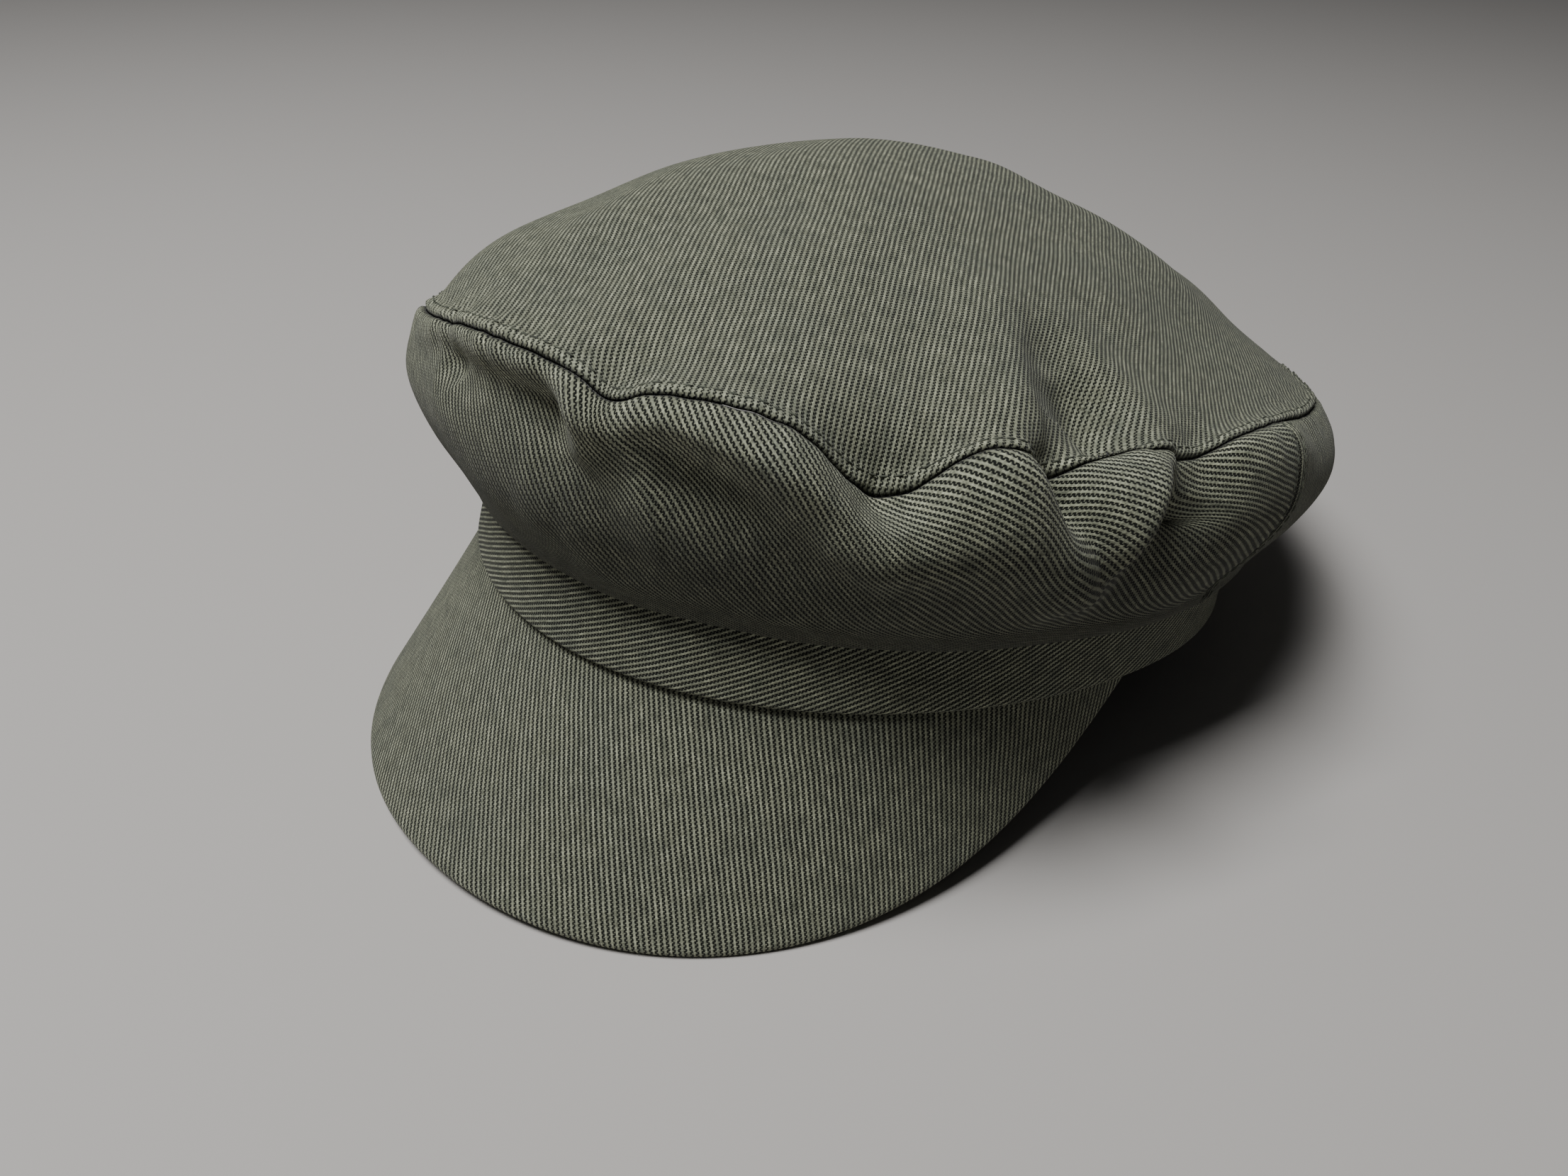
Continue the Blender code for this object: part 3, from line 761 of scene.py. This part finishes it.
def make_side(name, start, end, steps, close_steps=6):
    """Fine side panel between two side seams, given in degrees."""
    start, end = np.radians(start), np.radians(end)
    trim = 0.02 * MM / SIDE_RADIUS
    angle = np.linspace(start + trim, end - trim, steps + 1)
    ends = np.arange(1, close_steps) * 0.5 * MM / SIDE_RADIUS
    angle = np.unique(np.concatenate([angle, angle[0] + ends, angle[-1] - ends]))
    close = seam_rows(12, -1)[::-1] - 0.005
    row = np.concatenate([np.linspace(0, 3, 16), np.linspace(3, close[0], 44)[1:], close[1:]])
    angle, row = np.meshgrid(angle, row, indexing="ij")
    points, away = crown_surface(angle, row)
    normal = outward(crown_base, angle, row)
    mark = 0.25 * bell(away + 2 * MM, 1.5 * MM) - 1.6 * bell(away, 0.5 * MM)
    # Painted shade: the mark is lowered towards the panel's lower rows, so the cloth there is darker.
    mark = mark - SHADE_DEPTH * (1 - ease(*SHADE_ROWS, row))
    for seam in (start, end):
        lift, beside = side_seam_relief(angle, seam)
        points = points + normal * (lift * np.clip(row / FOLD_ROW, 0, 1))[..., None]
        mark = mark - 1.2 * bell(beside, 0.5 * MM)
    radius = SIDE_RADIUS / SIDE_TURN + (row - WIDEST_ROW) * ROW_LENGTH
    turn = SIDE_TURN * (angle - (0 if start < 0 else np.pi))
    pattern = np.stack([radius * np.sin(turn), radius * np.cos(turn)], -1)
    piece = grid_object(name, points, pattern, mark)
    add_wall(piece, CLOTH_WALL)
    piece.data.materials.append(denim_twill("denim_twill_" + name, SIDE_RIB_ANGLE, 0.62, 1.8))
    return piece


cap_side_front = make_side("side_panel_front", -SIDE_SEAM, SIDE_SEAM, 330)
cap_side_back = make_side("side_panel_back", SIDE_SEAM, 360 - SIDE_SEAM, 200)
print("side panels", len(cap_side_front.data.vertices), len(cap_side_back.data.vertices), "corners")

# %% [markdown]
# The headband
#
# A straight strip folded double and closed to an oval, so its section is a thin loop with round
# edges. This is a sweep: Geometry Nodes carry a small profile round the oval route and keep two
# lengths as they go, the one round the head and the one round the profile. Together these are
# the flat pattern of the strip, and the weave reads them as its UV.

# %% Headband as a sweep
BAND_RIB_ANGLE = -27.0
BAND_STEPS = 420
EDGE_STEPS = 6


def node_group(name, sockets):
    """New geometry tree with a geometry input, the named inputs and a geometry output."""
    group = bpy.data.node_groups.new(name, "GeometryNodeTree")
    group.interface.new_socket("Geometry", in_out="INPUT", socket_type="NodeSocketGeometry")
    for label, kind in sockets.items():
        group.interface.new_socket(label, in_out="INPUT", socket_type=kind)
    group.interface.new_socket("Geometry", in_out="OUTPUT", socket_type="NodeSocketGeometry")
    return group


def end_tree(group, geometry, material):
    """Last nodes of a tree: real geometry, its material and the output."""
    real = add_node(group, "GeometryNodeRealizeInstances", {0: geometry}).outputs[0]
    coat = {0: real, "Material": material}
    painted = add_node(group, "GeometryNodeSetMaterial", coat).outputs[0]
    group.links.new(painted, group.nodes.new("NodeGroupOutput").inputs[0])


def run_nodes(source, group, values, name):
    """Runs a tree on an object and returns the result as a plain mesh object."""
    modifier = source.modifiers.new("nodes", "NODES")
    modifier.node_group = group
    for item in group.interface.items_tree:
        if item.name in values and item.in_out == "INPUT":
            modifier[item.identifier] = values[item.name]
    bpy.context.view_layer.update()
    evaluated = source.evaluated_get(bpy.context.evaluated_depsgraph_get())
    mesh = bpy.data.meshes.new_from_object(evaluated)
    bpy.data.objects.remove(source)
    piece = bpy.data.objects.new(name, mesh)
    bpy.context.scene.collection.objects.link(piece)
    return piece


def line_object(name, points, closed=False, normals=None):
    """Mesh of corners joined to a line, used as a route; normals are kept on its corners."""
    count = len(points)
    edges = [(i, (i + 1) % count) for i in range(count if closed else count - 1)]
    mesh = bpy.data.meshes.new(name)
    mesh.from_pydata(points.tolist(), edges, [])
    if normals is not None:
        facing = mesh.attributes.new("facing", "FLOAT_VECTOR", "POINT")
        facing.data.foreach_set("vector", normals.astype(np.float32).ravel())
    route = bpy.data.objects.new(name, mesh)
    bpy.context.scene.collection.objects.link(route)
    return route


def sweep_tree():
    """Tree that sweeps a profile along a route and stores both lengths as the pattern."""
    kinds = {"Profile": "NodeSocketObject", "Steps": "NodeSocketInt", "Material": "NodeSocketMaterial"}
    group = node_group("sweep", kinds)
    entry = group.nodes.new("NodeGroupInput").outputs
    shape = add_node(group, "GeometryNodeObjectInfo", {"Object": entry["Profile"]}).outputs["Geometry"]
    lengths = []
    curves = []
    for geometry in (entry["Geometry"], shape):
        curve = add_node(group, "GeometryNodeMeshToCurve", {"Mesh": geometry}).outputs[0]
        if not curves:
            even = {"Curve": curve, "Count": entry["Steps"]}
            curve = add_node(group, "GeometryNodeResampleCurve", even).outputs[0]
            curve = add_node(group, "GeometryNodeSetCurveNormal", {"Curve": curve}, mode="Z_UP").outputs[0]
        length = group.nodes.new("GeometryNodeSplineParameter").outputs["Length"]
        kept = group.nodes.new("GeometryNodeCaptureAttribute")
        kept.capture_items.new("FLOAT", "Length")
        group.links.new(curve, kept.inputs["Geometry"])
        group.links.new(length, kept.inputs["Length"])
        curves.append(kept.outputs["Geometry"])
        lengths.append(kept.outputs["Length"])
    swept = add_node(group, "GeometryNodeCurveToMesh", {0: curves[0], 1: curves[1]}).outputs[0]
    flat = add_node(group, "ShaderNodeCombineXYZ", {0: lengths[0], 1: lengths[1]}).outputs[0]
    pattern = {0: swept, "Name": "pattern", "Value": flat}
    kind = {"data_type": "FLOAT2", "domain": "CORNER"}
    mapped = add_node(group, "GeometryNodeStoreNamedAttribute", pattern, **kind).outputs[0]
    smooth = add_node(group, "GeometryNodeSetShadeSmooth", {0: mapped}).outputs[0]
    end_tree(group, smooth, entry["Material"])
    return group


def band_profile():
    """Section of the headband: X is inwards from its lower edge's line, -Y is up."""
    half = BAND_WALL / 2
    rise = np.linspace(half, BAND_HEIGHT - half, 26)
    turn = np.linspace(0, np.pi, EDGE_STEPS + 1)[1:-1]
    edge_up, edge_in = half * np.sin(turn), half * np.cos(turn)
    up = np.concatenate([rise, BAND_HEIGHT - half + edge_up, rise[::-1], half - edge_up])
    depth = np.concatenate([0 * rise, half - edge_in, 0 * rise + BAND_WALL, half + edge_in])
    return np.stack([depth - up * np.tan(BAND_FLARE), -up, 0 * up], -1)


def make_band():
    """Fine headband, swept round its oval."""
    angle = np.linspace(-np.pi, np.pi, BAND_STEPS + 1)[:-1]
    route = line_object("band_route", band_surface(angle, np.zeros_like(angle)), closed=True)
    profile = line_object("band_section", band_profile(), closed=True)
    cloth = denim_twill("denim_twill_band", BAND_RIB_ANGLE, 0.62, 2.2)
    values = {"Profile": profile, "Steps": BAND_STEPS, "Material": cloth}
    piece = run_nodes(route, sweep_tree(), values, "cap_headband")
    bpy.data.objects.remove(profile)
    piece.data.transform(TABLE)
    press_flat(piece)
    return piece


cap_band = make_band()
print("headband", len(cap_band.data.vertices), "corners")

# %% [markdown]
# The peak
#
# A board covered with denim above and below and turned at its edge, so its edge is round and has
# no row of stitches. Its inner edge is tucked into the headband's, where the two are sewn
# together, so no light shows between them. Its grid runs out along the upper face, round the edge
# and back along the lower face. The cover was cut flat, so the UV map lays the peak out as a ring
# sector: its ribs stay parallel across the whole peak, as the photograph shows.

# %% Peak
PEAK_RIB_ANGLE = -57.0
PEAK_TURN = 0.5
PEAK_TUCK = 0.8 * MM


def peak_surface(angle, along):
    """Upper face of the peak at a distance from the headband's edge."""
    turn = np.abs(angle) / PEAK_REACH
    slope = PEAK_SLOPE_FRONT + (PEAK_SLOPE_END - PEAK_SLOPE_FRONT) * turn ** 2
    x, y, out = oval(angle, BAND_HALF_WIDTH, BAND_HALF_LENGTH)
    level = band_wave(angle) - along * np.sin(slope)
    reach = along * np.cos(slope)
    return np.stack([x + reach * out[..., 0], y + reach * out[..., 1], level], -1)


def peak_width(angle):
    """Distance from the headband's edge to the peak's own edge."""
    turn = np.clip(np.abs(angle) / PEAK_REACH, 0, 1)
    return PEAK_END + (PEAK_LENGTH - PEAK_END) * (1 - turn ** PEAK_FULLNESS)


def make_peak():
    """Fine peak with a round edge."""
    half = PEAK_WALL / 2
    angle = np.linspace(-PEAK_REACH, PEAK_REACH, 261)
    share = np.linspace(0, 1, 44)
    turn = np.linspace(0, np.pi, 9)[1:-1]
    shares = np.concatenate([share, np.ones_like(turn), share[::-1]])
    angle, shares = np.meshgrid(angle, shares, indexing="ij")
    length = (peak_width(angle) - half + PEAK_TUCK) * shares - PEAK_TUCK
    step = 0.0005
    spot = peak_surface(angle, length)
    outwards = peak_surface(angle, length + step) - spot
    outwards /= np.linalg.norm(outwards, axis=-1, keepdims=True)
    round_way = peak_surface(angle + step, length) - peak_surface(angle - step, length)
    normal = -np.cross(round_way, outwards)
    normal /= np.linalg.norm(normal, axis=-1, keepdims=True)
    lift = np.concatenate([0 * share, half * (np.cos(turn) - 1), 0 * share - 2 * half])
    push = np.concatenate([0 * share, half * np.sin(turn), 0 * share])
    points = spot + normal * lift[:, None] + outwards * push[:, None]
    radius = (BAND_HALF_WIDTH + BAND_HALF_LENGTH) / 2 / PEAK_TURN + length + push
    pattern = np.stack([radius * np.sin(PEAK_TURN * angle), -radius * np.cos(PEAK_TURN * angle)], -1)
    edge = np.concatenate([0 * share, np.sin(turn), 0 * share])[None, :] * np.ones_like(angle) * 0.5
    pattern = np.concatenate([pattern, pattern[:, :1]], axis=1)
    piece = grid_object("cap_peak", points[::-1], pattern[::-1], edge[::-1], False, True)
    close_ends(piece)
    press_flat(piece)
    piece.data.materials.append(denim_twill("denim_twill_peak", PEAK_RIB_ANGLE, 0.56, 1.7, 1.1 * MM))
    return piece


def close_ends(piece):
    """Closes the two open ends of a tube of cloth."""
    shape = bmesh.new()
    shape.from_mesh(piece.data)
    rim = [edge for edge in shape.edges if edge.is_boundary]
    bmesh.ops.holes_fill(shape, edges=rim, sides=0)
    shape.to_mesh(piece.data)
    shape.free()
    piece.data.shade_smooth()


cap_peak = make_peak()
print("peak", len(cap_peak.data.vertices), "corners")

# %% [markdown]
# Stitches
#
# Topstitching holds the folded edges flat: one row on the raised strip round the top, one on each
# side of the side seams, and one along the headband's lower edge. Each row is a route on the
# cloth, and Geometry Nodes put a small grain of thread at each step of it, turned along the
# route. The thread is a little darker than the cloth and pulled slightly into it, so the rows
# read as fine broken lines and not as cords.

# %% Rows of stitches
STITCH_PITCH = 2.5 * MM
STITCH_LENGTH = 1.9 * MM
STITCH_WIDTH = 0.42 * MM
STITCH_PROUD = 0.06 * MM
SIDE_STITCH_AWAY = 2.0 * MM
HEM_STITCH_AWAY = 2.0 * MM
THREAD_DYE_SCALE = 400.0
THREAD_FIBRE_SCALE = 5000.0


def cotton_thread():
    """Matt cotton thread, darker than the worn cloth, with uneven dye and loose fibres."""
    thread = bpy.data.materials.new("cotton_thread")
    thread.use_nodes = True
    tree = thread.node_tree
    shader = tree.nodes["Principled BSDF"]
    spot = tree.nodes.new("ShaderNodeTexCoord").outputs["Object"]
    dye = {"Vector": spot, "Scale": THREAD_DYE_SCALE, "Detail": 2.0}
    dye = add_node(tree, "ShaderNodeTexNoise", dye).outputs[0]
    share = add_node(tree, "ShaderNodeMapRange", {0: dye, 1: 0.35, 2: 0.65}).outputs[0]
    tones = {0: share, 6: linear("#33362e"), 7: linear("#505448")}
    colour = add_node(tree, "ShaderNodeMix", tones, data_type="RGBA").outputs[2]
    fibres = {"Vector": spot, "Scale": THREAD_FIBRE_SCALE, "Detail": 2.0}
    fibres = add_node(tree, "ShaderNodeTexNoise", fibres).outputs[0]
    bump = add_node(tree, "ShaderNodeBump", {"Height": fibres, "Distance": 0.15 * STITCH_WIDTH})
    tree.links.new(colour, shader.inputs["Base Color"])
    tree.links.new(bump.outputs[0], shader.inputs["Normal"])
    shader.inputs["Roughness"].default_value = 0.85
    return thread


def stitch_tree():
    """Tree that sets stitches along a route, tangent to it."""
    kinds = dict.fromkeys(("Pitch", "Length", "Width", "Unevenness"), "NodeSocketFloat")
    group = node_group("stitches", {**kinds, "Seed": "NodeSocketInt", "Material": "NodeSocketMaterial"})
    entry = group.nodes.new("NodeGroupInput").outputs
    curve = add_node(group, "GeometryNodeMeshToCurve", {"Mesh": entry["Geometry"]}).outputs[0]
    spacing = {"Curve": curve, "Length": entry["Pitch"]}
    even = add_node(group, "GeometryNodeResampleCurve", spacing, mode="LENGTH")
    tangent = group.nodes.new("GeometryNodeInputTangent").outputs[0]
    turned = add_node(group, "FunctionNodeAlignRotationToVector", {"Vector": tangent}, axis="X").outputs[0]
    ball = {"Segments": 6, "Rings": 4, "Radius": 0.5}
    grain = add_node(group, "GeometryNodeMeshUVSphere", ball).outputs[0]
    spread = {0: 1.0, 1: entry["Unevenness"]}
    low = add_node(group, "ShaderNodeMath", spread, operation="SUBTRACT").outputs[0]
    high = add_node(group, "ShaderNodeMath", spread, operation="ADD").outputs[0]
    limits = {2: low, 3: high, "Seed": entry["Seed"]}
    chance = add_node(group, "FunctionNodeRandomValue", limits, data_type="FLOAT").outputs[1]
    long = {0: entry["Length"], 1: chance}
    length = add_node(group, "ShaderNodeMath", long, operation="MULTIPLY").outputs[0]
    size = {0: length, 1: entry["Width"], 2: entry["Width"]}
    size = add_node(group, "ShaderNodeCombineXYZ", size).outputs[0]
    places = {"Points": even.outputs[0], "Instance": grain, "Rotation": turned, "Scale": size}
    rows = add_node(group, "GeometryNodeInstanceOnPoints", places).outputs[0]
    smooth = add_node(group, "GeometryNodeSetShadeSmooth", {0: rows}).outputs[0]
    end_tree(group, smooth, entry["Material"])
    return group


def crown_route(name, angle, row, lift=0.0):
    """Route on the crown's fine surface, raised a little so that the thread shows."""
    points, _ = crown_surface(angle, row)
    points = points + outward(crown_base, angle, row) * (STITCH_PROUD + lift)
    return line_object(name, points)


def stitch_routes():
    """Routes of all rows of stitches, by name: round the top, beside the side seams, on the hem."""
    angle = np.linspace(-np.pi, np.pi, 1441)
    top_row = SEAM_ROW + (RIDGE_WIDTH - 0.3 * MM) / row_height(angle)
    routes = {"stitches_top": crown_route("top_route", angle, top_row)}
    row = np.linspace(FOLD_ROW + 0.2, SEAM_ROW - 0.2, 80)
    aside = SIDE_STITCH_AWAY / SIDE_RADIUS
    for label, seam, towards_back in (("left", SIDE_SEAM, 1), ("right", -SIDE_SEAM, -1)):
        for panel, way in (("front", -towards_back), ("back", towards_back)):
            beside = np.full_like(row, np.radians(seam) + way * aside)
            routes[f"stitches_{label}_{panel}"] = crown_route("side_route", beside, row, SIDE_SEAM_RISE)
    hem = band_surface(angle, np.full_like(angle, HEM_STITCH_AWAY))
    hem[:, :2] += oval(angle, BAND_HALF_WIDTH, BAND_HALF_LENGTH)[2] * STITCH_PROUD
    routes["stitches_band"] = line_object("hem_route", hem)
    return routes


def make_stitches():
    """All rows of stitches, a piece for each row."""
    tree = stitch_tree()
    values = {"Pitch": STITCH_PITCH, "Length": STITCH_LENGTH, "Width": STITCH_WIDTH}
    values.update({"Unevenness": 0.08, "Seed": 5, "Material": cotton_thread()})
    pieces = [run_nodes(route, tree, values, name) for name, route in stitch_routes().items()]
    for piece in pieces:
        piece.data.transform(TABLE)
        press_flat(piece)
    return pieces


stitches = make_stitches()
print("stitches", sum(len(piece.data.polygons) for piece in stitches), "faces in", len(stitches), "rows")

# %% [markdown]
# Riding on the frame
#
# Each fine piece stands in for its solid, which is hidden. The cap has no moving part, so
# everything rides on the one body.

PIECES = (
    (cap_top, "crown_top", "crown_denim"),
    (cap_side_front, "side_front", "side_denim"),
    (cap_side_back, "side_back", "side_denim"),
    (cap_band, "headband", "band_denim"),
    (cap_peak, "peak", "peak_denim"),
)
for piece, node, slot in PIECES:
    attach(piece, "root")
    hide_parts(node)
for piece in stitches:
    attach(piece, "root")

# %% [markdown]
# The cut of the cloth
#
# Each panel of the crown is a sheet that was cut flat and then eased into its seams. Its widest
# and longest size and its area are stated, so that whoever reuses the part knows the cut, and the
# frame's own check can see that the folded cloth still has about that area.

# %% Flat sizes of the panels
Cut = namedtuple("Cut", "piece width length area held_by")
